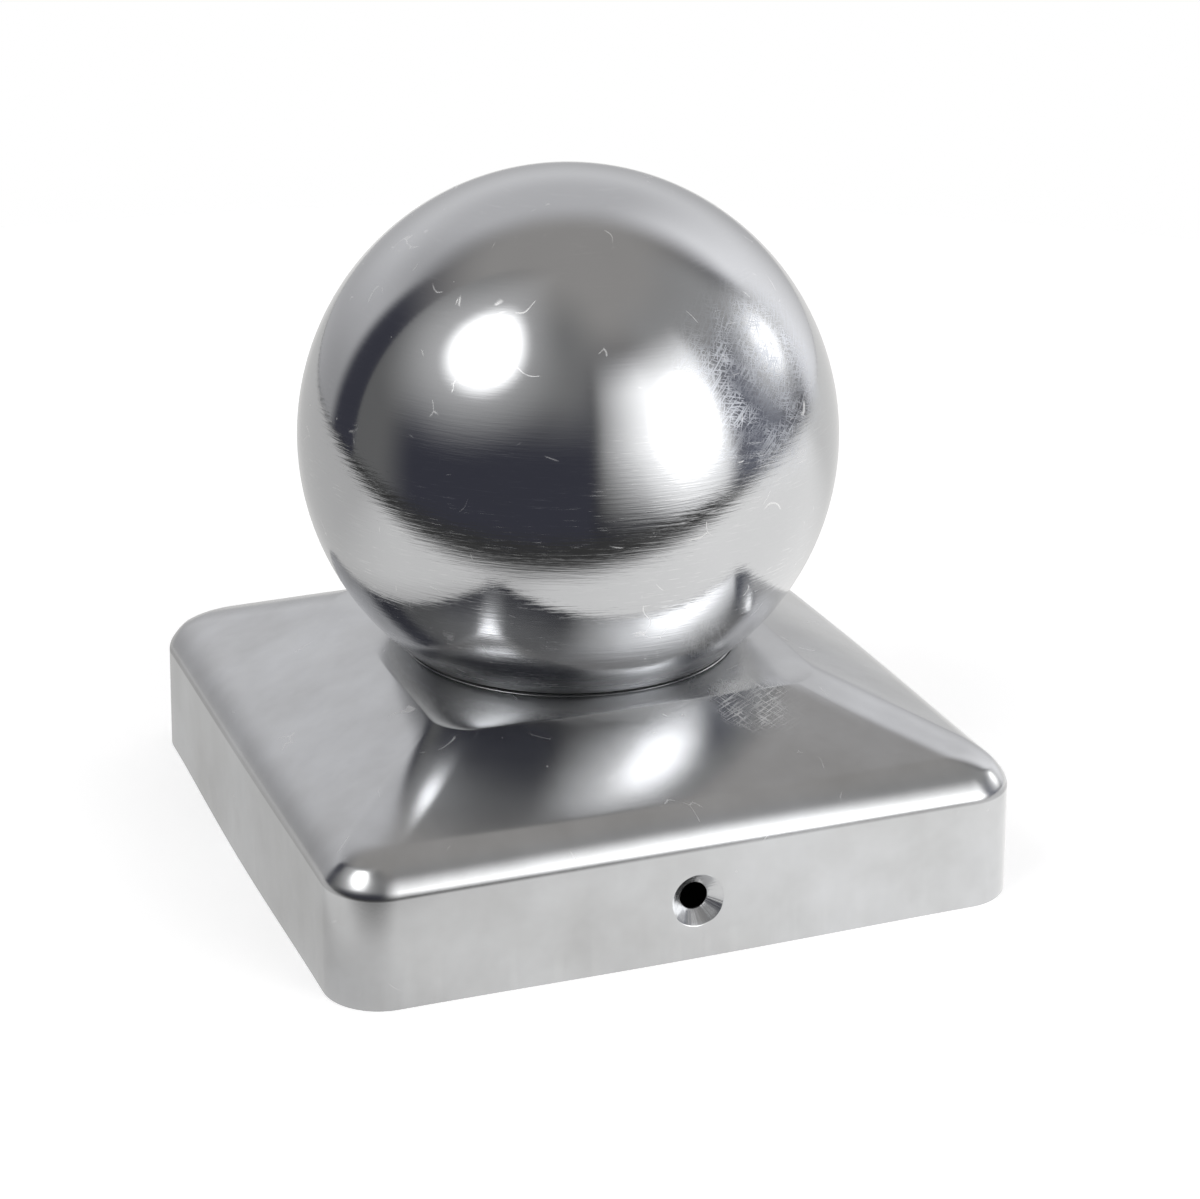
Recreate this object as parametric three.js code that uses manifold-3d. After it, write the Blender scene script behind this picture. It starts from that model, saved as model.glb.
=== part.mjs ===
// Ball post cap: a square cap of pressed steel that slides over the top of a post,
// drawn up into a round neck, and a hollow steel ball that sits on the neck.
// Millimetres, +Z up. The origin is the centre of the cap's open mouth, on the plane it stands on.
// The front, with the screw hole that shows, faces -Y.
import * as THREE from 'three';
import { mergeVertices } from 'three/addons/utils/BufferGeometryUtils.js';
import Module from 'manifold-3d';

const wasm = await Module();
wasm.setup();

// The post and the skirt around it
const POST_SIDE = 90;
const POST_PLAY = 0.6;
const SHEET = 1.2;
const SKIRT_HEIGHT = 14.6;
const SKIRT_DRAFT = THREE.MathUtils.degToRad(1.0);
const SKIRT_CORNER = 7.5;
const MOUTH_BOW = 0.45;
const EDGE_BOW = 0.15;

// The skirt's upper edge: a tight round, and a wider one that runs over into the top
const EDGE_ROUND = 2.5;
const EDGE_LEAN = THREE.MathUtils.degToRad(31);
const SHOULDER_ROUND = 9.4;

// The top's four faces with the soft ridges between them
const FACE_SLOPE = THREE.MathUtils.degToRad(23);
const FACE_BOW = 0.6;
const RIDGE_ROUND = 5.5;

// The square crown that the faces end in, sunk a little round the short neck in its middle
const CROWN_HALF = 26.5;
const CROWN_PULL = 2.0;
const CROWN_TURN = 3;
const NECK_RADIUS = 22.7;
const NECK_RISE = 0.53;
const NECK_SLOPE = THREE.MathUtils.degToRad(45);
const NECK_PULL = 1.6;

// The ball and the fine joint between it and the neck
const BALL_RADIUS = 35.8;
const BALL_WALL = 0.8;
const SEAM_GAP = 0.3;

// The two countersunk screw holes, one in the front and one in the back of the skirt
const HOLE_HEIGHT = 8.0;
const HOLE_DIAMETER = 3.6;
const COUNTERSINK_DIAMETER = 7.0;
const COUNTERSINK_DEPTH = 1.5;
const DIMPLE_RISE = 0.5;
const DIMPLE_LIP = 0.8;

// How finely the round shapes are cut into facets
const SIDE_STEPS = 8;
const CORNER_STEPS = 8;
const SKIRT_STEPS = 2;
const EDGE_STEPS = 3;
const SHOULDER_STEPS = 4;
const FACE_STEPS = 2;
const CROWN_STEPS = 6;
const BALL_TURNS = 48;
const BALL_STEPS = 19;
const HOLE_TURNS = 32;

const QUARTER = Math.PI / 2;
const MOUTH_HALF = (POST_SIDE + POST_PLAY) / 2 + SHEET;
const { lerp } = THREE.MathUtils;

// A station is one level ring of the cap's outer face: half its width, its height, the radius
// of its plan corners, how far its sides bow out, and the lean of its face back from upright.

function skirtStation(height) {
  return {
    half: MOUTH_HALF - height * Math.tan(SKIRT_DRAFT),
    height,
    corner: SKIRT_CORNER,
    bow: lerp(MOUTH_BOW, EDGE_BOW, height / SKIRT_HEIGHT),
    lean: 0,
  };
}

// The ring at a lean on a round of the given radius that starts at another ring.
function arcRing(start, radius, lean) {
  return {
    half: start.half - radius * (Math.cos(start.lean) - Math.cos(lean)),
    height: start.height + radius * (Math.sin(lean) - Math.sin(start.lean)),
    lean,
  };
}

function edgeRings() {
  const skirt = skirtStation(SKIRT_HEIGHT);
  const rings = [];
  for (let step = 1; step <= EDGE_STEPS; step += 1) {
    rings.push(arcRing(skirt, EDGE_ROUND, (EDGE_LEAN * step) / EDGE_STEPS));
  }
  const edge = rings.at(-1);
  for (let step = 1; step <= SHOULDER_STEPS; step += 1) {
    const lean = lerp(EDGE_LEAN, QUARTER - FACE_SLOPE, step / SHOULDER_STEPS);
    rings.push(arcRing(edge, SHOULDER_ROUND, lean));
  }
  return rings;
}

function faceRings(foot) {
  const rings = [];
  for (let step = 1; step <= FACE_STEPS; step += 1) {
    const half = lerp(foot.half, CROWN_HALF, step / FACE_STEPS);
    const height = foot.height + (foot.half - half) * Math.tan(FACE_SLOPE);
    rings.push({ half, height, lean: QUARTER - FACE_SLOPE });
  }
  return rings;
}

// From the upper edge of the faces over the crown to the neck's rim, a little above that edge.
function crownRings(start) {
  const rim = start.height + NECK_RISE;
  const curve = new THREE.CubicBezierCurve(
    new THREE.Vector2(start.half, start.height),
    new THREE.Vector2(
      start.half - CROWN_PULL * Math.cos(FACE_SLOPE),
      start.height + CROWN_PULL * Math.sin(FACE_SLOPE),
    ),
    new THREE.Vector2(
      NECK_RADIUS + NECK_PULL * Math.cos(NECK_SLOPE),
      rim - NECK_PULL * Math.sin(NECK_SLOPE),
    ),
    new THREE.Vector2(NECK_RADIUS, rim),
  );
  const rings = [];
  for (let step = 1; step <= CROWN_STEPS; step += 1) {
    const point = curve.getPoint(step / CROWN_STEPS);
    const along = curve.getTangent(step / CROWN_STEPS);
    rings.push({ half: point.x, height: point.y, lean: QUARTER - Math.atan2(along.y, -along.x) });
  }
  return rings;
}

// The plan of the top goes from the skirt's square, through ridges of one radius, to a circle.
function topStations() {
  const start = skirtStation(SKIRT_HEIGHT);
  const edge = edgeRings();
  const face = faceRings(edge.at(-1));
  const rings = [...edge, ...face, ...crownRings(face.at(-1))];
  return rings.map((ring) => {
    const inset = start.half - ring.half;
    const nearness = inset / (start.half - NECK_RADIUS);
    const ridge = Math.max(SKIRT_CORNER - inset, RIDGE_ROUND);
    const crown = Math.max((CROWN_HALF - ring.half) / (CROWN_HALF - NECK_RADIUS), 0);
    return {
      ...ring,
      corner: lerp(ridge, ring.half, crown ** CROWN_TURN),
      bow: start.bow * (1 - nearness) + FACE_BOW * Math.sin(Math.PI * nearness),
    };
  });
}

function outerStations() {
  const stations = [];
  for (let step = 0; step <= SKIRT_STEPS; step += 1) {
    stations.push(skirtStation((SKIRT_HEIGHT * step) / SKIRT_STEPS));
  }
  stations.push(...topStations());
  // The rim of the neck is cut level.
  stations.at(-1).lean = 0;
  return stations;
}

// The same ring one sheet thickness further in, square to the face.
function innerStation(outer) {
  const inset = SHEET * Math.cos(outer.lean);
  return {
    half: outer.half - inset,
    height: outer.height - SHEET * Math.sin(outer.lean),
    corner: outer.corner - inset,
    bow: outer.bow,
  };
}

// Bearings of a ring's points, closer together round the corners than along the sides.
function ringBearings() {
  const sideEnd = Math.atan2(MOUTH_HALF - SKIRT_CORNER, MOUTH_HALF);
  const bearings = [];
  for (let side = 0; side < 4; side += 1) {
    const middle = side * QUARTER;
    for (let step = 0; step < SIDE_STEPS; step += 1) {
      bearings.push(middle - sideEnd + (2 * sideEnd * step) / SIDE_STEPS);
    }
    const turn = QUARTER - 2 * sideEnd;
    for (let step = 0; step < CORNER_STEPS; step += 1) {
      bearings.push(middle + sideEnd + (turn * step) / CORNER_STEPS);
    }
  }
  return bearings;
}

function ringPoint(station, bearing) {
  const { half, height, corner, bow } = station;
  const side = Math.round(bearing / QUARTER) * QUARTER;
  const local = bearing - side;
  const straight = half - corner;
  const across = half * Math.tan(Math.abs(local));
  let out = half;
  let along = across;
  if (across > straight) {
    const toCentre = straight * (Math.cos(local) + Math.sin(Math.abs(local)));
    const reach = toCentre + Math.sqrt(toCentre ** 2 - 2 * straight ** 2 + corner ** 2);
    out = reach * Math.cos(local);
    along = reach * Math.sin(Math.abs(local));
  } else if (straight > 0) {
    out = half + bow * (1 - (across / straight) ** 2) ** 2;
  }
  const point = new THREE.Vector3(out, Math.sign(local) * along, height);
  return point.applyAxisAngle(new THREE.Vector3(0, 0, 1), side);
}

// A closed band: up the outer rings, over the neck's rim, down the inner rings, round the mouth.
function shellGeometry() {
  const outer = outerStations();
  const stations = [...outer, ...outer.map(innerStation).reverse()];
  const bearings = ringBearings();
  const positions = stations.flatMap((station) =>
    bearings.flatMap((bearing) => ringPoint(station, bearing).toArray()));
  const count = bearings.length;
  const index = [];
  for (let ring = 0; ring < stations.length; ring += 1) {
    const above = (ring + 1) % stations.length;
    for (let spot = 0; spot < count; spot += 1) {
      const next = (spot + 1) % count;
      const a = ring * count + spot;
      const b = ring * count + next;
      const c = above * count + next;
      const d = above * count + spot;
      index.push(a, b, c, a, c, d);
    }
  }
  const geometry = new THREE.BufferGeometry();
  geometry.setAttribute('position', new THREE.Float32BufferAttribute(positions, 3));
  geometry.setIndex(index);
  return geometry;
}

// Shared vertices are merged, and the flat triangles at a lathe's poles are dropped.
function welded(geometry) {
  const bare = geometry.clone();
  bare.deleteAttribute('normal');
  bare.deleteAttribute('uv');
  const merged = mergeVertices(bare, 1e-5);
  const index = [];
  const old = merged.index.array;
  for (let at = 0; at < old.length; at += 3) {
    const [a, b, c] = old.slice(at, at + 3);
    if (a !== b && b !== c && c !== a) index.push(a, b, c);
  }
  merged.setIndex(index);
  return merged;
}

function toSolid(geometry) {
  const merged = welded(geometry);
  return new wasm.Manifold(new wasm.Mesh({
    numProp: 3,
    vertProperties: Float32Array.from(merged.attributes.position.array),
    triVerts: Uint32Array.from(merged.index.array),
  }));
}

function toGeometry(solid) {
  const mesh = solid.getMesh();
  const geometry = new THREE.BufferGeometry();
  geometry.setAttribute('position', new THREE.BufferAttribute(mesh.vertProperties, 3));
  geometry.setIndex(new THREE.BufferAttribute(mesh.triVerts, 1));
  return geometry;
}

// A turned body whose profile is [radius, depth] pairs, with its axis pointing into the skirt
// at the hole's height and depth counted from the skirt's outer face. facing is 1 for the
// front and -1 for the back.
function turnedInSkirt(profile, facing) {
  const level = skirtStation(HOLE_HEIGHT);
  const points = profile.map(([radius, depth]) => new THREE.Vector2(radius, depth));
  const geometry = new THREE.LatheGeometry(points, HOLE_TURNS);
  geometry.translate(0, -(level.half + level.bow), 0);
  if (facing < 0) geometry.rotateZ(Math.PI);
  geometry.translate(0, 0, HOLE_HEIGHT);
  return toSolid(geometry);
}

// The metal that the countersink pushes in behind the sheet.
function dimple(facing) {
  const root = COUNTERSINK_DIAMETER / 2 + DIMPLE_LIP;
  const tip = HOLE_DIAMETER / 2 + DIMPLE_LIP;
  return turnedInSkirt([
    [0, SHEET / 2],
    [root, SHEET / 2],
    [root, SHEET],
    [tip, SHEET + DIMPLE_RISE],
    [0, SHEET + DIMPLE_RISE],
  ], facing);
}

// The cone for the screw's head and the straight bore behind it, run on past both faces.
function screwHole(facing) {
  const bore = HOLE_DIAMETER / 2;
  const head = COUNTERSINK_DIAMETER / 2;
  const spread = (head - bore) / COUNTERSINK_DEPTH;
  const past = 1;
  return turnedInSkirt([
    [0, -past],
    [head + spread * past, -past],
    [bore, COUNTERSINK_DEPTH],
    [bore, SHEET + DIMPLE_RISE + past],
    [0, SHEET + DIMPLE_RISE + past],
  ], facing);
}

function capGeometry() {
  let cap = toSolid(shellGeometry());
  for (const facing of [1, -1]) {
    cap = cap.add(dimple(facing)).subtract(screwHole(facing));
  }
  return toGeometry(cap);
}

// The ball is open below, where its rim meets the neck's rim with the seam's gap between them.
function ballGeometry() {
  const points = [];
  const inner = BALL_RADIUS - BALL_WALL;
  const rimDepth = Math.sqrt(BALL_RADIUS ** 2 - NECK_RADIUS ** 2);
  const outerEnd = Math.PI - Math.asin(NECK_RADIUS / BALL_RADIUS);
  const innerEnd = Math.acos(-rimDepth / inner);
  for (let step = 0; step <= BALL_STEPS; step += 1) {
    const turn = (innerEnd * step) / BALL_STEPS;
    points.push(new THREE.Vector2(inner * Math.sin(turn), inner * Math.cos(turn)));
  }
  for (let step = BALL_STEPS; step >= 0; step -= 1) {
    const turn = (outerEnd * step) / BALL_STEPS;
    points.push(new THREE.Vector2(BALL_RADIUS * Math.sin(turn), BALL_RADIUS * Math.cos(turn)));
  }
  const geometry = new THREE.LatheGeometry(points, BALL_TURNS);
  geometry.rotateX(QUARTER);
  return { geometry: welded(geometry), rimDepth };
}

function steel(color, roughness) {
  return new THREE.MeshStandardMaterial({ color, roughness, metalness: 1 });
}

const postCap = new THREE.Group();

const cap = new THREE.Mesh(capGeometry(), steel(0xc6c7c9, 0.24));
cap.name = 'base_cap';
postCap.add(cap);

const { geometry: ballShell, rimDepth } = ballGeometry();
const ball = new THREE.Mesh(ballShell, steel(0xcbcccf, 0.2));
ball.name = 'ball';
ball.position.z = topStations().at(-1).height + SEAM_GAP + rimDepth;
postCap.add(ball);

export default postCap;
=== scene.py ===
"""Ball post cap: a pressed steel cap with a polished hollow steel ball on its neck."""
import math

import bpy
import numpy as np
from mathutils import Matrix, Vector


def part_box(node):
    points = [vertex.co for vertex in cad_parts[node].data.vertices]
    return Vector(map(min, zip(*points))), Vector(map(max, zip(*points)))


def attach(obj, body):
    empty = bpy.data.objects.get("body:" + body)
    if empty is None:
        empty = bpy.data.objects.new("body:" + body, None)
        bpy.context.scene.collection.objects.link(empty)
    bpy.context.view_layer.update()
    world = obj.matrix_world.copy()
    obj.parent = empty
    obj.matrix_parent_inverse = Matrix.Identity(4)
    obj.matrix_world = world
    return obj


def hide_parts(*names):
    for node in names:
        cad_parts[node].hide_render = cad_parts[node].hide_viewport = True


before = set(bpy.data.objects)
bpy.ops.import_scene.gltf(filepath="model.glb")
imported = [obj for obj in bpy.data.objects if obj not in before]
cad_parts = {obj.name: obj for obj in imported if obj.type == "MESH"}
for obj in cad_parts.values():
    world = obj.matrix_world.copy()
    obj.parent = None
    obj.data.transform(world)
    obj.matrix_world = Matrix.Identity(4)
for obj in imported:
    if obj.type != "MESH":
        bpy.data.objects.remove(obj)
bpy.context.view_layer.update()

MM = 0.001
QUARTER = math.pi / 2

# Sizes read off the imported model, in millimetres
cap_low, cap_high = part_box("base_cap")
ball_low, ball_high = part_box("ball")
MOUTH_BOW = 0.45
MOUTH_HALF = (cap_high.x - cap_low.x) / MM / 2 - MOUTH_BOW
NECK_HEIGHT = cap_high.z / MM
BALL_RADIUS = (ball_high.x - ball_low.x) / MM / 2
BALL_CENTRE = ball_high.z / MM - BALL_RADIUS
BALL_RIM = ball_low.z / MM

# The pressed cap: the skirt, its upper edge, and the four-sided top with its crown round the neck
SHEET = 1.2
SKIRT_HEIGHT = 14.6
SKIRT_DRAFT = math.radians(1.0)
SKIRT_CORNER = 7.5
EDGE_BOW = 0.15
EDGE_ROUND = 2.5
EDGE_LEAN = math.radians(31)
SHOULDER_ROUND = 9.4
FACE_SLOPE = math.radians(23)
FACE_BOW = 0.6
RIDGE_ROUND = 5.5
CROWN_HALF = 26.5
CROWN_PULL = 0.5
NECK_RADIUS = 22.7
NECK_SLOPE = math.radians(30)
NECK_PULL = 0.3
CROWN_TURN = 3.0
CUT_ROUND = 0.18

# The screw holes, with the small rounds at the cone's lip and root and the pressed dimple behind
HOLE_HEIGHT = 8.0
BORE_RADIUS = 1.8
HEAD_RADIUS = 3.5
HEAD_DEPTH = 1.5
LIP_ROUND = 0.1
ROOT_ROUND = 0.08
DIMPLE_RISE = 0.5
DIMPLE_LIP = 0.8
DIMPLE_SAG = 0.45
DIMPLE_FOOT = 0.04
WINDOW_HALF = 4.8

# The ball, and the steps in and up of its rim's outer edge as shares of the round
BALL_WALL = 0.8
RIM_ROUND = 0.12
RIM_STEPS = ((0.15, 0.25), (0.6, 0.0))
RIM_INNER_STEP = 0.6

# How finely the meshes are divided
BELOW_STEPS = 3
WINDOW_STEPS = 16
SIDE_STEPS = 12
CORNER_STEPS = 24
EDGE_STEPS = 12
SHOULDER_STEPS = 20
FACE_STEPS = 36
CROWN_STEPS = 40
PATCH_STEPS = 7
CONE_SHARES = (0.25, 0.5, 0.75)
ROUND_STEPS = 4
BALL_TURNS = 256
BALL_STEPS = 140
DISC_TURNS = 160

# The finish of the metal: reflectance, roughness, and places and sizes of its marks in metres
STEEL = (0.57, 0.575, 0.585)
WARM_STEEL = (0.575, 0.575, 0.57)
COOL_STEEL = (0.565, 0.575, 0.595)
SCUFF_TINT = (0.97, 1.0, 1.06)
BALL_GLOSS = 0.07
CAP_GLOSS = 0.14
BALL_GRAIN_DEPTH = 0.000005
CAP_GRAIN_DEPTH = 0.000002
SCUFF_BEARING = math.radians(-63)
SCUFF_UP = math.radians(24)
SCUFF_REACH = 0.016
RUB_AT = (0.015, -0.028, 0.0245)
RUB_REACH = 0.0075
RIM_SATIN = 0.0045

# Where the finish changes, and where a painted dark line runs, in millimetres: above the ball's middle, out
# from the neck, above the foot of the skirt, above the skirt, and in from the lip of a screw cone and from
# the face round it
TURNED_FROM = 16.0
TURNED_FULL = 2.0
NECK_SATIN_FROM = 9.0
NECK_SATIN_FULL = 2.0
STREAKS_FROM = 10.0
STREAKS_FULL = 1.0
EDGE_STARTS = (-0.1, 0.3)
# The thin dark line low on the edge's round is painted reflection of the dark room, not a mark of the metal
PAINTED_LINE_ENDS = (0.5, 1.1)
EDGE_ENDS = (2.0, 3.0)
TOP_STARTS = (0.0, 2.0)
CONE_MARGIN = 0.05
CONE_INSET = 5.0

# The scratches of a scuff: tilt in degrees, width and length in metres, and how rare they are
BALL_SCUFFS = ((35, 0.0002, 0.004, 0.5), (-12, 0.00017, 0.003, 0.54), (66, 0.00022, 0.0026, 0.54),
               (150, 0.00015, 0.002, 0.54))
CAP_SCUFFS = ((10, 0.0001, 0.003, 0.52), (150, 0.00013, 0.0022, 0.54))

# The white table that the metal mirrors and the pale floor that the camera sees, in metres
TABLE_CENTRE = (0.266, 0.470, 0.0)
TABLE_REACH = 0.63
TABLE_SOFT = 0.014
TABLE_TINT = (1.0, 0.995, 0.985, 1.0)
BEYOND_LEVEL = 0.06
BEYOND_REACH = 0.05
SHADE_CENTRE = (-0.05, -0.01, 0.0)
SHADE_SPREAD = (1 / 0.02, 1 / 0.07, 1.0)
FLOOR_REACH = 0.35
FLOOR_LEVEL = 0.9
FLOOR_GLOW = 0.45
# The floor's colour under the cap: painted shade, nearly black
UNDER_SHADE_LEVEL = 0.01
UNDER_INSET = 0.004

# How the table's light changes to the right, to the back and out from the shade beside the cap:
# the two ends of each change and the light at them
TABLE_TO_RIGHT = (-0.06, 0.06, 0.87, 1.12)
TABLE_TO_BACK = (-0.005, 0.07, 1.0, 0.73)
TABLE_FROM_SHADE = (0.3, 1.2, 0.72, 1.0)

# The room that the metal mirrors: how far the seam of its bearings is turned away, the brightness
# and tint of room and ceiling, and the heights between which one goes over into the other, in degrees
SEAM_SHIFT = 30
ROOM = (0.06, (0.93, 0.95, 1.25))
CEILING = (0.4, (1.03, 1.0, 0.97))
CEILING_STARTS = (28, 66)
GAP_TINT = (0.92, 0.97, 1.2)

# The white sweep and the lit screen: the plane of the sweep's upper end, and how their light changes
# by height or bearing, with both ends of each change in degrees and the light at them
SWEEP_TOP = math.radians(68.7)
SWEEP_MIDDLE = math.radians(74)
SWEEP_SOFT = 0.3
SWEEP_TINT = (1.0, 1.0, 1.02)
SWEEP_LOW = (0, 24, 0.54, 0.8)
SWEEP_HIGH = (20, 38, 1.0, 0.86)
SWEEP_TO_LEFT = (98, 128, 1.0, 0.8)
SWEEP_BESIDE = (-14, 4, 0.75, 1.2)
SWEEP_TURNS = (18, 58)
SCREEN_TO_RIGHT = (-101, -74, 0.08, 1.8)
SCREEN_UPWARDS = (-24, 10, 0.03, 1.0)

# The photo's camera: left of the front and looking down, in millimetres, for a frame 36 mm wide
VIEW_TURN = math.radians(21.281)
VIEW_DOWN = math.radians(21.416)
VIEW_ROLL = math.radians(0.474)
VIEW_DISTANCE = 401.007
VIEW_RIGHT = -4.43
VIEW_DROP = 5.663
AIM_HEIGHT = 25.0
FRAME_WIDTH = 36.0
LENS = 88.322
NEAR_LIMIT = 10.0


def skirt_station(height):
    """The skirt's ring at a height: half width, corner radius, and how far its sides bow out."""
    share = height / SKIRT_HEIGHT
    return {
        "half": MOUTH_HALF - height * math.tan(SKIRT_DRAFT),
        "height": height,
        "corner": SKIRT_CORNER,
        "bow": MOUTH_BOW + (EDGE_BOW - MOUTH_BOW) * share,
        "lean": 0.0,
    }


def arc_station(start, radius, lean):
    """The ring at a lean on a round of the given radius that starts at another ring."""
    inset = radius * (math.cos(start["lean"]) - math.cos(lean))
    return {
        "half": start["half"] - inset,
        "height": start["height"] + radius * (math.sin(lean) - math.sin(start["lean"])),
        "corner": start["corner"],
        "bow": start["bow"],
        "lean": lean,
    }


def crown_rings(crown):
    """The rings of the curve from the crown's edge to the neck's rim."""
    start = np.array((crown["half"], crown["height"]))
    end = np.array((NECK_RADIUS, NECK_HEIGHT))
    after_start = start + CROWN_PULL * np.array((-math.cos(FACE_SLOPE), math.sin(FACE_SLOPE)))
    before_end = end + NECK_PULL * np.array((math.cos(NECK_SLOPE), -math.sin(NECK_SLOPE)))
    rings = []
    for step in range(1, CROWN_STEPS + 1):
        share = step / CROWN_STEPS
        rest = 1 - share
        half, height = (rest**3 * start + 3 * rest**2 * share * after_start
                        + 3 * rest * share**2 * before_end + share**3 * end)
        run, up = (rest**2 * (after_start - start) + 2 * rest * share * (before_end - after_start)
                   + share**2 * (end - before_end))
        rings.append({"half": half, "height": height, "lean": QUARTER - math.atan2(up, -run)})
    return rings


def top_outline():
    """Half widths, heights and leans of the rings from the skirt's upper edge to the neck's rim."""
    skirt = skirt_station(SKIRT_HEIGHT)
    rings = [arc_station(skirt, EDGE_ROUND, EDGE_LEAN * step / EDGE_STEPS)
             for step in range(1, EDGE_STEPS + 1)]
    edge = rings[-1]
    face_lean = QUARTER - FACE_SLOPE
    leans = np.linspace(EDGE_LEAN, face_lean, SHOULDER_STEPS + 1)[1:]
    rings += [arc_station(edge, SHOULDER_ROUND, lean) for lean in leans]
    foot = rings[-1]
    rise = math.tan(FACE_SLOPE)
    for half in np.linspace(foot["half"], CROWN_HALF, FACE_STEPS + 1)[1:]:
        height = foot["height"] + (foot["half"] - half) * rise
        rings.append({"half": half, "height": height, "lean": face_lean})
    return rings + crown_rings(rings[-1])


def top_stations():
    """The rings of the top: the skirt's square, then a square with ridges of one radius, then a circle."""
    start = skirt_station(SKIRT_HEIGHT)
    stations = []
    for ring in top_outline():
        inset = start["half"] - ring["half"]
        nearness = inset / (start["half"] - NECK_RADIUS)
        crown_share = max((CROWN_HALF - ring["half"]) / (CROWN_HALF - NECK_RADIUS), 0.0)
        ridge = max(SKIRT_CORNER - inset, RIDGE_ROUND)
        turn = crown_share**CROWN_TURN
        stations.append({
            **ring,
            "corner": ridge * (1 - turn) + ring["half"] * turn,
            "bow": start["bow"] * (1 - nearness) + FACE_BOW * math.sin(math.pi * nearness),
        })
    return stations


def inner_station(outer):
    """The same ring one sheet thickness further in, square to the face."""
    inset = SHEET * math.cos(outer["lean"])
    return {
        "half": outer["half"] - inset,
        "height": outer["height"] - SHEET * math.sin(outer["lean"]),
        "corner": outer["corner"] - inset,
        "bow": outer["bow"],
        "lean": outer["lean"],
    }


def shifted(station, inward, up):
    """The same ring moved in towards the axis and up."""
    return {**station, "half": station["half"] - inward, "corner": station["corner"] - inward,
            "height": station["height"] + up}


def skirt_levels():
    """Heights of the skirt's rings, even across the window that the screw hole is set in."""
    low, high = HOLE_HEIGHT - WINDOW_HALF, HOLE_HEIGHT + WINDOW_HALF
    below = np.linspace(CUT_ROUND, low, BELOW_STEPS + 1)[:-1]
    window = np.linspace(low, high, WINDOW_STEPS + 1)
    return [*below, *window, SKIRT_HEIGHT]


def side_places():
    """Where the columns cross a side, even across the screw hole's window."""
    end = MOUTH_HALF - SKIRT_CORNER
    wing = np.linspace(-end, -WINDOW_HALF, SIDE_STEPS + 1)[:-1]
    window = np.linspace(-WINDOW_HALF, WINDOW_HALF, WINDOW_STEPS + 1)
    return [*wing, *window, *(-wing[::-1])]


def ring_bearings():
    """The bearings of all columns, with one side and one corner in each quarter."""
    side = [math.atan2(place, MOUTH_HALF) for place in side_places()]
    turn = QUARTER - 2 * side[-1]
    corner = [side[-1] + turn * step / CORNER_STEPS for step in range(1, CORNER_STEPS)]
    return [quarter * QUARTER + bearing for quarter in range(4) for bearing in side + corner]


def ring_point(station, bearing):
    """The point of a bowed square with round corners at a bearing."""
    half, corner, bow = station["half"], station["corner"], station["bow"]
    side = round(bearing / QUARTER) * QUARTER
    local = bearing - side
    straight = half - corner
    across = half * math.tan(abs(local))
    out, along = half, across
    if across > straight:
        to_centre = straight * (math.cos(local) + math.sin(abs(local)))
        reach = to_centre + math.sqrt(max(to_centre**2 - 2 * straight**2 + corner**2, 0))
        out, along = reach * math.cos(local), reach * math.sin(abs(local))
    elif straight > 0:
        out = half + bow * (1 - (across / straight) ** 2) ** 2
    along = math.copysign(along, local)
    return (out * math.cos(side) - along * math.sin(side),
            out * math.sin(side) + along * math.cos(side),
            station["height"])


def rounded(corner, before, after):
    """The points of a small round at a corner, from the point before it to the point after it."""
    shares = [step / ROUND_STEPS for step in range(ROUND_STEPS + 1)]
    return [(1 - share) ** 2 * before + 2 * share * (1 - share) * corner + share**2 * after
            for share in shares]


def hole_profile():
    """Radius and depth behind the outer face, from the skirt's face through the cone and the bore."""
    lip = np.array([HEAD_RADIUS, 0.0])
    root = np.array([BORE_RADIUS, HEAD_DEPTH])
    cone = (root - lip) / np.linalg.norm(root - lip)
    back = SHEET + DIMPLE_RISE
    tip = BORE_RADIUS + DIMPLE_LIP
    foot = HEAD_RADIUS + DIMPLE_LIP
    points = rounded(lip, lip + (LIP_ROUND, 0), lip + LIP_ROUND * cone)
    points += [lip + (root - lip) * share for share in CONE_SHARES]
    points += rounded(root, root - ROOT_ROUND * cone, root + (0, ROOT_ROUND))
    points += [
        (BORE_RADIUS, back - ROOT_ROUND),
        (BORE_RADIUS + ROOT_ROUND / 3, back - ROOT_ROUND / 3),
        (BORE_RADIUS + ROOT_ROUND, back),
        (tip - ROOT_ROUND, back),
        (tip + ROOT_ROUND / 2, back - ROOT_ROUND / 2),
        ((tip + foot) / 2, back - DIMPLE_RISE * DIMPLE_SAG),
        (foot, SHEET + DIMPLE_FOOT),
    ]
    return [(float(radius), float(depth)) for radius, depth in points]


def linked(name, data):
    """A new object of the scene with the given data."""
    made = bpy.data.objects.new(name, data)
    bpy.context.scene.collection.objects.link(made)
    return made


class Mesh:
    """Collects vertices and faces in millimetres, and makes a smooth-shaded object of them in metres."""

    def __init__(self):
        self.vertices = []
        self.faces = []

    def add(self, point):
        self.vertices.append(tuple(float(value) for value in point))
        return len(self.vertices) - 1

    def ring(self, points):
        return [self.add(point) for point in points]

    def bridge(self, first, second):
        """Quads between two closed rings."""
        count = len(first)
        for at in range(count):
            after = (at + 1) % count
            self.faces.append((first[at], first[after], second[after], second[at]))

    def object(self, name):
        data = bpy.data.meshes.new(name)
        data.from_pydata([Vector(point) * MM for point in self.vertices], [], self.faces)
        data.validate()
        data.update()
        data.polygons.foreach_set("use_smooth", [True] * len(data.polygons))
        return linked(name, data)


def window_columns(facing, bearings):
    """Indices of the columns that bound the window's grid, left to right as the bearings run."""
    per_quarter = len(bearings) // 4
    side = 3 if facing < 0 else 1
    first = side * per_quarter + SIDE_STEPS
    return [first + step for step in range(WINDOW_STEPS + 1)]


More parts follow.
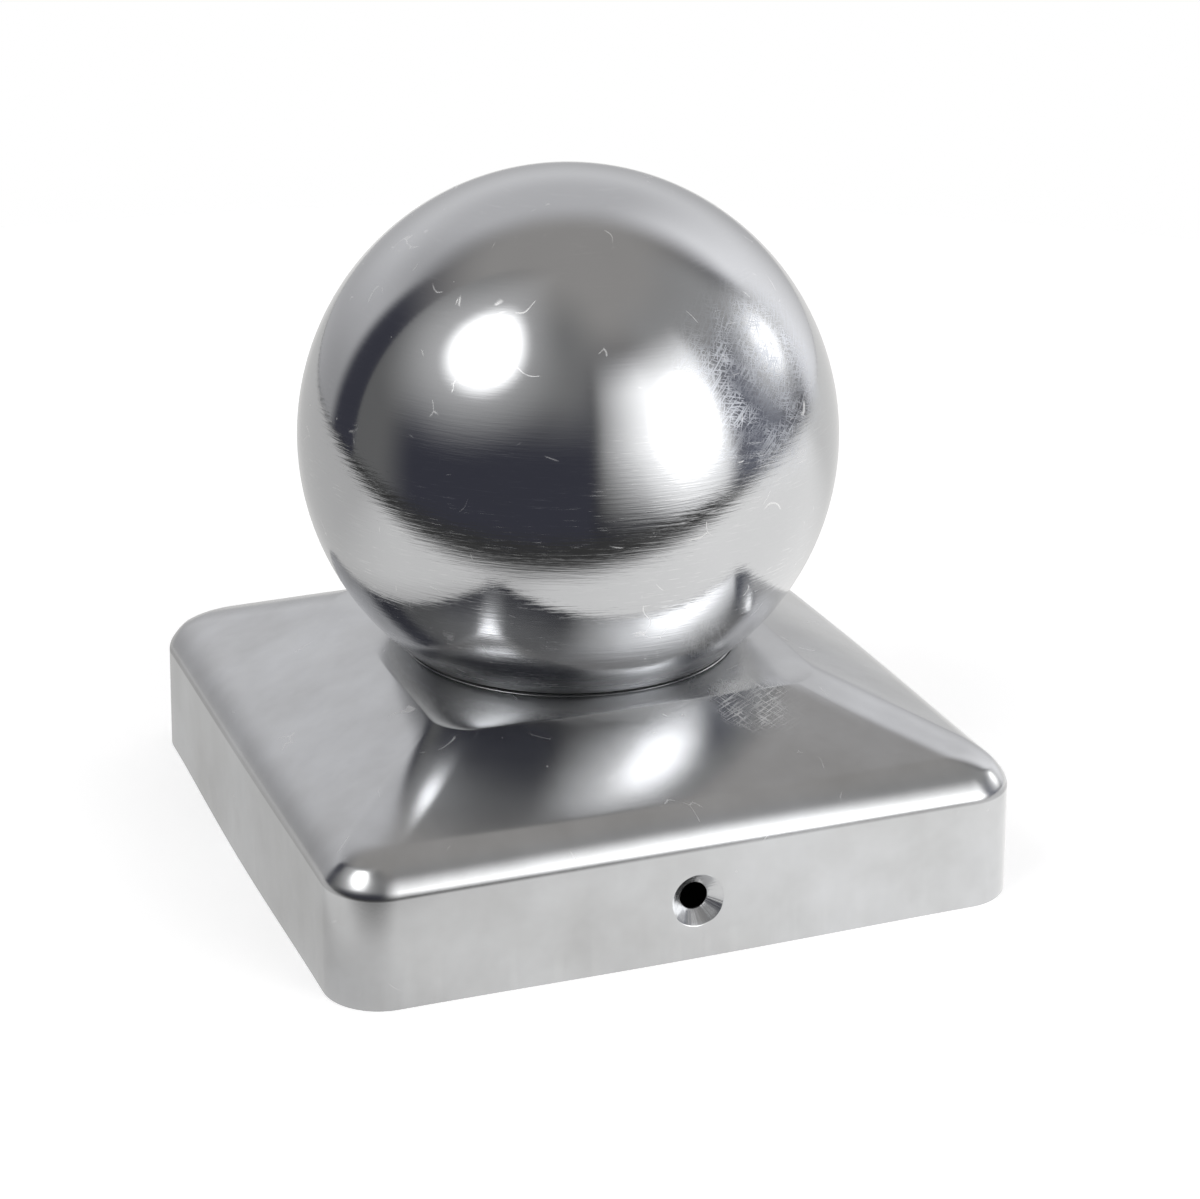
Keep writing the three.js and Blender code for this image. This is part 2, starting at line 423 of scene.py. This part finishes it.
def window_loop(rings, columns):
    """The window's outline, anticlockwise seen from outside, as vertex indices."""
    first = BELOW_STEPS
    last = first + WINDOW_STEPS
    low = [(first, column) for column in columns]
    right = [(ring, columns[-1]) for ring in range(first + 1, last + 1)]
    high = [(last, column) for column in reversed(columns[:-1])]
    left = [(ring, columns[0]) for ring in range(last - 1, first, -1)]
    return [rings[ring][column] for ring, column in low + right + high + left]


def face_point(across, height, facing, inner):
    """The point of the skirt's outer or inner face at a place across the side and a height."""
    station = skirt_station(height)
    if inner:
        station = inner_station(station)
    bearing = facing * QUARTER + math.atan2(across, station["half"])
    return np.array(ring_point(station, bearing))


def set_hole(mesh, outer_loop, inner_loop, facing):
    """Fills the two windows of one side with the face round the hole, the cone, the bore and the dimple."""
    spokes = []
    for vertex in outer_loop:
        x, _, z = mesh.vertices[vertex]
        across = -x if facing > 0 else x
        spokes.append((across, z - HOLE_HEIGHT))
    angles = [math.atan2(up, across) for across, up in spokes]
    rims = hole_profile()

    def blended(radius, share, inner):
        """A ring at a share of the way from the window's outline to a round rim."""
        points = []
        for (across, up), angle in zip(spokes, angles):
            place = (across * (1 - share) + radius * math.cos(angle) * share,
                     up * (1 - share) + radius * math.sin(angle) * share)
            points.append(face_point(place[0], HOLE_HEIGHT + place[1], facing, inner))
        return mesh.ring(points)

    loops = [outer_loop]
    loops += [blended(rims[0][0], step / PATCH_STEPS, False) for step in range(1, PATCH_STEPS)]
    for radius, depth in rims:
        points = []
        for angle in angles:
            across, up = radius * math.cos(angle), radius * math.sin(angle)
            point = face_point(across, HOLE_HEIGHT + up, facing, False)
            point[1] -= facing * depth
            points.append(point)
        loops.append(mesh.ring(points))
    loops += [blended(rims[-1][0], step / PATCH_STEPS, True) for step in range(PATCH_STEPS - 1, 0, -1)]
    loops.append(inner_loop)
    for first, second in zip(loops, loops[1:]):
        mesh.bridge(first, second)


def cut_rims(rim, mouth):
    """The rings of the neck's and the skirt's cut rims, each with a small round at both sides."""
    turns = [QUARTER * step / ROUND_STEPS for step in range(ROUND_STEPS + 1)]
    steps = [(CUT_ROUND * (1 - math.cos(turn)), CUT_ROUND * (1 - math.sin(turn))) for turn in turns]
    neck = [shifted(rim, inset, -drop) for inset, drop in steps[1:]]
    neck += [shifted(rim, SHEET - inset, -drop) for inset, drop in reversed(steps)]
    foot = [shifted(mouth, SHEET - inset, drop) for inset, drop in steps[1:]]
    foot += [shifted(mouth, inset, drop) for inset, drop in reversed(steps[1:])]
    return neck, foot


def cap_mesh():
    """The pressed sheet: both faces, the cut rims of the neck and the skirt, and the screw holes."""
    mesh = Mesh()
    bearings = ring_bearings()
    outer = [skirt_station(level) for level in skirt_levels()] + top_stations()
    inner = [inner_station(station) for station in outer]
    rim = outer[-1]
    neck, foot = cut_rims(rim, skirt_station(0))
    outer[-1] = shifted(rim, 0, -CUT_ROUND)
    inner[-1] = shifted(rim, SHEET, -SHEET)

    def rings_of(stations):
        return [mesh.ring(ring_point(station, bearing) for bearing in bearings) for station in stations]

    outer_rings = rings_of(outer)
    neck_rings = rings_of(neck)
    inner_rings = rings_of(inner)
    foot_rings = rings_of(foot)
    windows = {facing: window_columns(facing, bearings) for facing in (-1, 1)}
    open_cells = {(ring, column) for columns in windows.values() for column in columns[:-1]
                  for ring in range(BELOW_STEPS, BELOW_STEPS + WINDOW_STEPS)}

    def band(rings, outward, holes):
        """Quads from ring to ring, without the windows' cells where there are holes."""
        count = len(bearings)
        for at in range(len(rings) - 1):
            for column in range(count):
                if holes and (at, column) in open_cells:
                    continue
                after = (column + 1) % count
                face = (rings[at][column], rings[at][after], rings[at + 1][after], rings[at + 1][column])
                mesh.faces.append(face if outward else face[::-1])

    band(outer_rings, True, True)
    band([outer_rings[-1], *neck_rings, inner_rings[-1]], True, False)
    band(inner_rings, False, True)
    band([inner_rings[0], *foot_rings, outer_rings[0]], True, False)
    for facing, columns in windows.items():
        set_hole(mesh, window_loop(outer_rings, columns), window_loop(inner_rings, columns), facing)
    return mesh


def ball_mesh():
    """The hollow ball with its open rim below."""
    mesh = Mesh()
    inner_radius = BALL_RADIUS - BALL_WALL
    drop = BALL_CENTRE - BALL_RIM
    outer_end = math.acos(-drop / BALL_RADIUS)
    inner_end = math.acos(-drop / inner_radius)
    turns = [2 * math.pi * step / BALL_TURNS for step in range(BALL_TURNS)]

    def ring_at(radius, height):
        return mesh.ring((radius * math.cos(turn), radius * math.sin(turn), height) for turn in turns)

    def sphere_rings(radius, end):
        angles = [end * step / BALL_STEPS for step in range(1, BALL_STEPS + 1)]
        return [ring_at(radius * math.sin(angle), BALL_CENTRE + radius * math.cos(angle)) for angle in angles]

    outside = sphere_rings(BALL_RADIUS, outer_end - RIM_ROUND / BALL_RADIUS)
    outer_rim = BALL_RADIUS * math.sin(outer_end)
    inner_rim = inner_radius * math.sin(inner_end)
    rim = [ring_at(outer_rim - RIM_ROUND * inset, BALL_RIM + RIM_ROUND * up) for inset, up in RIM_STEPS]
    rim.append(ring_at(inner_rim + RIM_ROUND * RIM_INNER_STEP, BALL_RIM))
    inside = sphere_rings(inner_radius, inner_end - RIM_ROUND / inner_radius)
    chain = outside + rim + inside[::-1]
    for upper, lower in zip(chain, chain[1:]):
        mesh.bridge(lower, upper)
    for ring, radius, outward in ((outside[0], BALL_RADIUS, True), (inside[0], inner_radius, False)):
        pole = mesh.add((0, 0, BALL_CENTRE + radius))
        for at in range(BALL_TURNS):
            face = (ring[at], ring[(at + 1) % BALL_TURNS], pole)
            mesh.faces.append(face if outward else face[::-1])
    return mesh


class Nodes:
    """Short calls for building a node tree."""

    def __init__(self, tree):
        self.tree = tree

    def new(self, kind, **settings):
        node = self.tree.nodes.new(kind)
        for name, value in settings.items():
            setattr(node, name, value)
        return node

    def set(self, socket, value):
        if isinstance(value, bpy.types.NodeSocket):
            self.tree.links.new(value, socket)
        else:
            socket.default_value = value

    def fill(self, node, values):
        for socket, value in zip(node.inputs, values):
            self.set(socket, value)

    def math(self, operation, *values):
        node = self.new("ShaderNodeMath", operation=operation)
        self.fill(node, values)
        return node.outputs[0]

    def product(self, first, *others):
        for other in others:
            first = self.math("MULTIPLY", first, other)
        return first

    def highest(self, first, *others):
        for other in others:
            first = self.math("MAXIMUM", first, other)
        return first

    def total(self, *terms):
        """The sum of values, each with its own weight."""
        result = 0.0
        for value, weight in terms:
            result = self.math("MULTIPLY_ADD", value, weight, result)
        return result

    def length(self, across, along):
        """The length of a line from its two shares."""
        squares = self.product(across, across), self.product(along, along)
        return self.math("SQRT", self.math("ADD", *squares))

    def ramp(self, value, low, high, to_low=0.0, to_high=1.0, smooth=True):
        """A change from one level to another as a value goes from low to high."""
        node = self.new("ShaderNodeMapRange", interpolation_type="SMOOTHSTEP" if smooth else "LINEAR")
        self.fill(node, (value, low, high, to_low, to_high))
        return node.outputs[0]

    def mix(self, share, first, second):
        node = self.new("ShaderNodeMix", data_type="RGBA")
        self.set(node.inputs[0], share)
        self.set(node.inputs[6], first)
        self.set(node.inputs[7], second)
        return node.outputs[2]

    def vector(self, operation, *values):
        node = self.new("ShaderNodeVectorMath", operation=operation)
        self.fill(node, values)
        return node.outputs["Value" if operation in ("LENGTH", "DOT_PRODUCT") else "Vector"]

    def away(self, place, centre):
        """The distance of a place from a centre."""
        return self.vector("LENGTH", self.vector("SUBTRACT", place, centre))

    def mapped(self, vector, scale):
        return self.vector("MULTIPLY", vector, scale)

    def parts(self, vector):
        node = self.new("ShaderNodeSeparateXYZ")
        self.set(node.inputs[0], vector)
        return node.outputs

    def joined(self, *parts):
        node = self.new("ShaderNodeCombineXYZ")
        self.fill(node, parts)
        return node.outputs[0]

    def noise(self, vector, scale, detail=2.0, roughness=0.5, output="Fac"):
        node = self.new("ShaderNodeTexNoise")
        self.set(node.inputs["Vector"], vector)
        for name, value in (("Scale", scale), ("Detail", detail), ("Roughness", roughness)):
            node.inputs[name].default_value = value
        return node.outputs[output]

    def cells(self, vector, scale, feature):
        node = self.new("ShaderNodeTexVoronoi", feature=feature)
        self.set(node.inputs["Vector"], vector)
        node.inputs["Scale"].default_value = scale
        return node.outputs

    def bump(self, height, depth):
        """A normal from a height, whose 1 is a depth in metres."""
        node = self.new("ShaderNodeBump")
        node.inputs["Strength"].default_value = 1.0
        node.inputs["Distance"].default_value = depth
        self.set(node.inputs["Height"], height)
        return node.outputs[0]


def grey(level, tint=(1.0, 1.0, 1.0)):
    """A colour of the given level and tint."""
    return (level * tint[0], level * tint[1], level * tint[2], 1.0)


def metal(name):
    """A bare metal material with its node helper, its shader and the place on the piece."""
    material = bpy.data.materials.new(name)
    material.use_nodes = True
    nodes = Nodes(material.node_tree)
    shader = material.node_tree.nodes["Principled BSDF"]
    shader.inputs["Metallic"].default_value = 1.0
    place = nodes.new("ShaderNodeTexCoord").outputs["Object"]
    return material, nodes, shader, place


def specks(nodes, place, spacing, size, share):
    """Small round dots in a share of the cells: spacing in metres, size as a share of it."""
    cells = nodes.cells(nodes.mapped(place, (1 / spacing,) * 3), 1.0, "F1")
    chance = nodes.new("ShaderNodeSeparateColor")
    nodes.set(chance.inputs[0], cells["Color"])
    kept = nodes.math("LESS_THAN", chance.outputs[0], share)
    reach = nodes.ramp(chance.outputs[1], 0, 1, size * 0.4, size, smooth=False)
    dot = nodes.ramp(nodes.math("DIVIDE", cells["Distance"], reach), 0.5, 1.0, 1.0, 0.0)
    return nodes.product(dot, kept)


def scratches(nodes, place, spacing, width, rare):
    """Thin bent lines, broken up into short runs; rarer the nearer rare comes to 1."""
    wander = nodes.vector("SUBTRACT", nodes.noise(place, 0.7 / spacing, output="Color"), (0.5, 0.5, 0.5))
    bent = nodes.vector("ADD", place, nodes.mapped(wander, (spacing * 2,) * 3))
    edge = nodes.cells(bent, 1 / spacing, "DISTANCE_TO_EDGE")["Distance"]
    line = nodes.ramp(edge, 0, width / spacing, 1.0, 0.0)
    runs = nodes.ramp(nodes.noise(place, 1.9 / spacing), rare, rare + 0.06)
    return nodes.product(line, runs)


def hatching(nodes, place, turn, scuffs):
    """Straight fine scratches in several directions, on a face whose level lines run at the given turn."""
    side = Vector((math.cos(turn), math.sin(turn), 0))
    layers = []
    for degrees, width, length, rare in scuffs:
        tilt = math.radians(degrees)
        along = side * math.cos(tilt) + Vector((0, 0, math.sin(tilt)))
        across = Vector((0, 0, math.cos(tilt))) - side * math.sin(tilt)
        stretched = nodes.joined(nodes.vector("DOT_PRODUCT", place, tuple(along / length)),
                                 nodes.vector("DOT_PRODUCT", place, tuple(across / width)))
        layers.append(nodes.ramp(nodes.noise(stretched, 1.0, detail=1.0), rare, rare + 0.1))
    return nodes.highest(*layers)


def level_lines(nodes, place, length, spacing):
    """Fine lines round a turned piece."""
    stretched = nodes.mapped(place, (1 / length, 1 / length, 1 / spacing))
    return nodes.noise(stretched, 1.0, detail=3.0, roughness=0.65)


def ball_steel():
    """Polished steel with fine turning lines, scuffs on the right shoulder, specks and a satin rim."""
    material, nodes, shader, place = metal("ball_steel")
    height = nodes.parts(place)[2]
    clouds = nodes.noise(place, scale=70.0, detail=4.0, roughness=0.55)
    turned = nodes.ramp(height, (BALL_CENTRE + TURNED_FROM) * MM, (BALL_CENTRE + TURNED_FULL) * MM, 0.15, 1.0)
    satin = nodes.ramp(height, BALL_RIM * MM + RIM_SATIN, BALL_RIM * MM + RIM_SATIN * 0.2)

    lines = level_lines(nodes, place, length=0.007, spacing=0.00032)
    streaks = nodes.product(nodes.ramp(lines, 0.35, 0.7, -0.5, 0.5), turned)
    short_lines = nodes.ramp(level_lines(nodes, place, length=0.0035, spacing=0.0002), 0.57, 0.72)
    in_places = nodes.ramp(nodes.noise(place, scale=70.0, detail=2.0), 0.4, 0.65, 0.1, 0.7)
    dashes = nodes.product(short_lines, in_places, turned)
    long = scratches(nodes, place, spacing=0.009, width=0.00013, rare=0.6)
    dots = specks(nodes, place, spacing=0.0035, size=0.07, share=0.3)
    marks = nodes.highest(dots, dashes, long)

    level_out = BALL_RADIUS * MM * math.cos(SCUFF_UP)
    scuff_at = (level_out * math.cos(SCUFF_BEARING), level_out * math.sin(SCUFF_BEARING),
                (BALL_CENTRE + BALL_RADIUS * math.sin(SCUFF_UP)) * MM)
    near_scuff = nodes.ramp(nodes.away(place, scuff_at), SCUFF_REACH, SCUFF_REACH * 0.4)
    uneven = nodes.ramp(nodes.noise(place, scale=240.0, detail=3.0), 0.36, 0.62, 0.55, 1.0)
    scuffed = nodes.product(near_scuff, uneven)
    scuffs = nodes.product(hatching(nodes, place, SCUFF_BEARING + QUARTER, BALL_SCUFFS), scuffed)

    plain = nodes.mix(clouds, grey(0.95, STEEL), grey(1.05, STEEL))
    dulled = nodes.mix(scuffs, plain, grey(0.7, SCUFF_TINT))
    nodes.set(shader.inputs["Base Color"], nodes.mix(marks, dulled, grey(0.85)))
    nodes.set(shader.inputs["Roughness"], nodes.total(
        (clouds, 0.06), (marks, 0.3), (streaks, 0.05), (satin, 0.2), (scuffed, 0.08), (scuffs, 0.2),
        (1.0, BALL_GLOSS)))
    nodes.set(shader.inputs["Normal"], nodes.bump(streaks, BALL_GRAIN_DEPTH))
    return material


def screw_cone(nodes, x, y, height):
    """1 on the screw holes' cones, and the turning marks on them."""
    from_hole = nodes.math("SUBTRACT", height, HOLE_HEIGHT * MM)
    within = nodes.math("LESS_THAN", nodes.length(x, from_hole), (HEAD_RADIUS - CONE_MARGIN) * MM)
    in_skirt = nodes.math("GREATER_THAN", nodes.math("ABSOLUTE", y), (MOUTH_HALF - CONE_INSET) * MM)
    cone = nodes.product(within, in_skirt)
    turn = nodes.joined(nodes.math("ARCTAN2", from_hole, x))
    return cone, nodes.product(nodes.noise(turn, scale=5.0, detail=3.0), cone)


def cap_steel():
    """Pressed sheet with faint clouds and grain, a few marks, a rubbed place, turned screw cones and a
    painted dark reflection line along the edge.
    """
    material, nodes, shader, place = metal("cap_steel")
    x, y, height = nodes.parts(place)
    clouds = nodes.noise(place, scale=55.0, detail=4.0, roughness=0.6)
    patches = nodes.noise(place, scale=160.0, detail=2.0)
    grain = nodes.noise(place, scale=2600.0, detail=1.0)
    satin = nodes.ramp(nodes.length(x, y), (NECK_RADIUS + NECK_SATIN_FROM) * MM,
                       (NECK_RADIUS + NECK_SATIN_FULL) * MM)
    streaks = nodes.noise(nodes.mapped(place, (400, 400, 45)), scale=1.0, detail=3.0)
    near_foot = nodes.ramp(height, STREAKS_FROM * MM, STREAKS_FULL * MM)
    streaked = nodes.product(nodes.ramp(streaks, 0.5, 0.68), near_foot)

    def above_skirt(first, last, to_first=0.0, to_last=1.0):
        """A ramp between two heights above the skirt, in millimetres."""
        return nodes.ramp(height, (SKIRT_HEIGHT + first) * MM, (SKIRT_HEIGHT + last) * MM, to_first, to_last)

    edge_low = above_skirt(*EDGE_STARTS)
    # A thin darker line low on the edge's round: painted reflection of the dark room, darkening the colour
    painted_dark_line = nodes.product(edge_low, above_skirt(*PAINTED_LINE_ENDS, 1.0, 0.0))
    edge = nodes.product(edge_low, above_skirt(*EDGE_ENDS, 1.0, 0.0))

    rubbed = nodes.ramp(nodes.away(place, RUB_AT), RUB_REACH, RUB_REACH * 0.3)
    uneven = nodes.ramp(nodes.noise(place, scale=330.0, detail=3.0), 0.36, 0.62, 0.3, 1.0)
    fine = nodes.product(hatching(nodes, place, 0.0, CAP_SCUFFS), rubbed, uneven)
    long = scratches(nodes, place, spacing=0.011, width=0.00013, rare=0.62)
    dots = specks(nodes, place, spacing=0.004, size=0.06, share=0.3)
    on_top = nodes.ramp(above_skirt(*TOP_STARTS), 0, 1, 0.35, 1.0)
    marks = nodes.product(nodes.highest(dots, fine, long), on_top)

    cone, chatter = screw_cone(nodes, x, y, height)
    # The colour's level: random clouds, patches and foot streaks, less the painted dark reflection line along
    # the edge
    shade = nodes.total((clouds, 0.5), (patches, 0.12), (streaked, 0.03), (painted_dark_line, -0.3), (1.0, 0.69))
    tinted = nodes.mix(clouds, grey(1.0, WARM_STEEL), grey(1.0, COOL_STEEL))
    nodes.set(shader.inputs["Base Color"], nodes.mix(marks, nodes.mapped(tinted, shade), grey(0.8)))
    nodes.set(shader.inputs["Roughness"], nodes.total(
        (clouds, 0.06), (marks, 0.3), (satin, 0.05), (edge, 0.07), (cone, 0.05), (rubbed, 0.06),
        (1.0, CAP_GLOSS)))
    relief = nodes.total((grain, 1.0), (patches, 1.5), (chatter, 30.0))
    nodes.set(shader.inputs["Normal"], nodes.bump(relief, CAP_GRAIN_DEPTH))
    return material


class Sky(Nodes):
    """The node helper of the studio's world, which makes patches by bearing and height in degrees."""

    def __init__(self, tree):
        super().__init__(tree)
        self.direction = self.new("ShaderNodeTexCoord").outputs["Generated"]
        turned = self.new("ShaderNodeVectorRotate", rotation_type="Z_AXIS")
        self.set(turned.inputs["Vector"], self.direction)
        turned.inputs["Angle"].default_value = math.radians(SEAM_SHIFT)
        x, y, z = self.parts(turned.outputs[0])
        self.bearing = self.math("SUBTRACT", self.math("DEGREES", self.math("ARCTAN2", y, x)), SEAM_SHIFT)
        self.height = self.math("DEGREES", self.math("ARCSINE", z))

    def between(self, value, low, high, soft):
        """1 between two values, fading out over the soft ways at both."""
        rising = self.ramp(value, low - soft, low + soft)
        falling = self.ramp(value, high - soft, high + soft, 1.0, 0.0)
        return self.product(rising, falling)

    def panel(self, left, right, low, high, soft_side, soft_height):
        """A four-sided patch: 1 inside, fading out over the soft ways at its sides."""
        return self.product(self.between(self.bearing, left, right, soft_side),
                            self.between(self.height, low, high, soft_height))

    def lamp(self, at, up, wide, tall, soft):
        """A round patch: 1 inside, fading out over the soft share of its size."""
        across = self.math("DIVIDE", self.math("SUBTRACT", self.bearing, at), wide)
        upward = self.math("DIVIDE", self.math("SUBTRACT", self.height, up), tall)
        return self.ramp(self.length(across, upward), 1 - soft, 1 + soft, 1.0, 0.0)


def white_sweep(sky):
    """The mask and the light of the sweep behind and to the right, which rises in a curve from the table."""
    rise = Vector((-math.sin(SWEEP_TOP) * math.cos(SWEEP_MIDDLE),
                   -math.sin(SWEEP_TOP) * math.sin(SWEEP_MIDDLE),
                   math.cos(SWEEP_TOP)))
    above_sweep = sky.vector("DOT_PRODUCT", sky.direction, tuple(rise))
    sides = sky.panel(left=12.5, right=133, low=-40, high=90, soft_side=4, soft_height=5)
    mask = sky.product(sides, sky.ramp(above_sweep, -SWEEP_SOFT, 0.0, 1.0, 0.0))
    upwards = sky.product(sky.ramp(sky.height, *SWEEP_LOW), sky.ramp(sky.height, *SWEEP_HIGH))
    behind = sky.product(upwards, sky.ramp(sky.bearing, *SWEEP_TO_LEFT))
    beside = sky.ramp(sky.height, *SWEEP_BESIDE)
    return mask, sky.mapped(sky.mix(sky.ramp(sky.bearing, *SWEEP_TURNS), beside, behind), SWEEP_TINT)


def lit_screen(sky):
    """The mask and the light of the screen in front, which is brighter to the right and upwards."""
    to_right = sky.ramp(sky.bearing, *SCREEN_TO_RIGHT, smooth=False)
    upwards = sky.ramp(sky.height, *SCREEN_UPWARDS, smooth=False)
    mask = sky.panel(left=-99, right=-40, low=-22, high=41, soft_side=4, soft_height=11)
    return mask, sky.product(to_right, upwards)


def studio_patches(sky):
    """Masks and lights of the studio's patches, each over the ones before it."""
    wall_left = sky.panel(left=-215, right=-96, low=22, high=70, soft_side=20, soft_height=16)
    back_left = sky.panel(left=-240, right=-186, low=-24, high=30, soft_side=10, soft_height=12)
    wall_right = sky.panel(left=-66, right=8, low=26, high=60, soft_side=12, soft_height=12)
    blue_gap = sky.panel(left=-36, right=-4, low=-20, high=30, soft_side=8, soft_height=10)
    left_glow = sky.lamp(at=-166, up=45, wide=34, tall=26, soft=0.7)
    left_lamp = sky.lamp(at=-160, up=46, wide=19, tall=14, soft=0.5)
    right_glow = sky.lamp(at=0, up=19, wide=17, tall=14, soft=0.6)
    right_lamp = sky.lamp(at=1, up=19, wide=6, tall=8, soft=0.4)
    screen_glow = sky.lamp(at=-58, up=4, wide=16, tall=20, soft=0.6)
    screen_lamp = sky.lamp(at=-59, up=15, wide=13, tall=16, soft=0.4)
    return [
        (wall_left, grey(0.26)),
        (back_left, grey(0.18)),
        (left_glow, grey(0.7)),
        (wall_right, grey(0.4)),
        (blue_gap, grey(0.18, GAP_TINT)),
        lit_screen(sky),
        white_sweep(sky),
        (right_glow, grey(0.85)),
        (right_lamp, grey(3.0)),
        (left_lamp, grey(4.0)),
        (screen_glow, grey(1.5)),
        (screen_lamp, grey(4.0)),
    ]


def build_studio():
    """A curved white sweep, a lit screen, lamps and a dim room for the metal, and white for the camera."""
    world = bpy.data.worlds.new("studio")
    bpy.context.scene.world = world
    world.use_nodes = True
    world.node_tree.nodes.clear()
    sky = Sky(world.node_tree)
    light = sky.mix(sky.ramp(sky.height, *CEILING_STARTS), grey(*ROOM), grey(*CEILING))
    for mask, patch_light in studio_patches(sky):
        light = sky.mix(mask, light, patch_light)
    seen_by_camera = sky.new("ShaderNodeLightPath").outputs["Is Camera Ray"]
    background = sky.new("ShaderNodeBackground")
    sky.set(background.inputs["Color"], sky.mix(seen_by_camera, light, grey(1.0)))
    sky.set(sky.new("ShaderNodeOutputWorld").inputs["Surface"], background.outputs[0])


def bare(name):
    """A material that neither mirrors nor scatters, with its node helper and its shader."""
    material = bpy.data.materials.new(name)
    material.use_nodes = True
    shader = material.node_tree.nodes["Principled BSDF"]
    shader.inputs["Base Color"].default_value = grey(0.0)
    shader.inputs["Roughness"].default_value = 1.0
    shader.inputs["Specular IOR Level"].default_value = 0.0
    return material, Nodes(material.node_tree), shader


def ground(nodes):
    """The place on the ground, and 1 beside the cap or 0 under it."""
    place = nodes.new("ShaderNodeTexCoord").outputs["Object"]
    x, y, _ = nodes.parts(place)
    side = nodes.highest(nodes.math("ABSOLUTE", x), nodes.math("ABSOLUTE", y))
    return place, nodes.math("GREATER_THAN", side, MOUTH_HALF * MM - UNDER_INSET)


def table_white():
    """White up to the table's soft round end, and dark under the cap, where no light comes."""
    material, nodes, shader = bare("table_white")
    place, beside = ground(nodes)
    x, y, _ = nodes.parts(place)
    reach = nodes.away(place, TABLE_CENTRE)
    white = nodes.ramp(reach, TABLE_REACH - TABLE_SOFT, TABLE_REACH + TABLE_SOFT, 1.0, BEYOND_LEVEL)
    to_right = nodes.ramp(x, *TABLE_TO_RIGHT, smooth=False)
    to_back = nodes.ramp(y, *TABLE_TO_BACK)
    from_shade = nodes.mapped(nodes.vector("SUBTRACT", place, SHADE_CENTRE), SHADE_SPREAD)
    shade = nodes.ramp(nodes.vector("LENGTH", from_shade), *TABLE_FROM_SHADE)
    shader.inputs["Emission Color"].default_value = TABLE_TINT
    nodes.set(shader.inputs["Emission Strength"], nodes.product(white, to_right, to_back, shade, beside))
    return material


def pale_floor():
    """Pale and a little lit of its own, with painted shade under the cap, where its colour is nearly black.
    """
    material, nodes, shader = bare("pale_floor")
    _, beside = ground(nodes)
    # Under the cap the colour is painted shade, nearly black
    nodes.set(shader.inputs["Base Color"], nodes.mix(beside, grey(UNDER_SHADE_LEVEL), grey(FLOOR_LEVEL)))
    shader.inputs["Emission Color"].default_value = grey(1.0)
    nodes.set(shader.inputs["Emission Strength"], nodes.product(beside, FLOOR_GLOW))
    return material


def flat(name, centre, reach, material):
    """A level disc on the ground."""
    data = bpy.data.meshes.new(name)
    turns = [2 * math.pi * step / DISC_TURNS for step in range(DISC_TURNS)]
    rim = [(centre[0] + reach * math.cos(turn), centre[1] + reach * math.sin(turn), 0) for turn in turns]
    data.from_pydata(rim, [], [tuple(range(DISC_TURNS))])
    data.materials.append(material)
    made = linked(name, data)
    return made


def build_floor():
    """The pale floor that the camera sees, and the white table that only the metal mirrors."""
    floor = flat("floor", (0, 0), FLOOR_REACH, pale_floor())
    floor.visible_glossy = False
    table = flat("table", TABLE_CENTRE, TABLE_REACH + BEYOND_REACH, table_white())
    table.visible_camera = False
    table.visible_diffuse = False
    table.visible_shadow = False


def build_camera():
    """The photo's camera."""
    turn, down = VIEW_TURN, VIEW_DOWN
    forward = Vector((math.sin(turn) * math.cos(down), math.cos(turn) * math.cos(down), -math.sin(down)))
    level = Vector((math.cos(turn), -math.sin(turn), 0))
    below = forward.cross(level)
    right = level * math.cos(VIEW_ROLL) - below * math.sin(VIEW_ROLL)
    drop = level * math.sin(VIEW_ROLL) + below * math.cos(VIEW_ROLL)
    place = Vector((0, 0, AIM_HEIGHT)) - forward * VIEW_DISTANCE - right * VIEW_RIGHT - drop * VIEW_DROP
    data = bpy.data.cameras.new("camera")
    data.sensor_width = FRAME_WIDTH
    data.lens = LENS
    data.clip_start = NEAR_LIMIT * MM
    camera = linked("camera", data)
    matrix = Matrix((right, -drop, -forward)).transposed().to_4x4()
    matrix.translation = place * MM
    camera.matrix_world = matrix
    bpy.context.scene.camera = camera


build_camera()
cap = cap_mesh().object("pressed_cap")
cap.data.materials.append(cap_steel())
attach(cap, "root")
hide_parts("base_cap")

ball = ball_mesh().object("polished_ball")
ball.data.materials.append(ball_steel())
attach(ball, "root")
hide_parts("ball")

build_floor()
build_studio()
bpy.context.scene.view_settings.view_transform = "Standard"
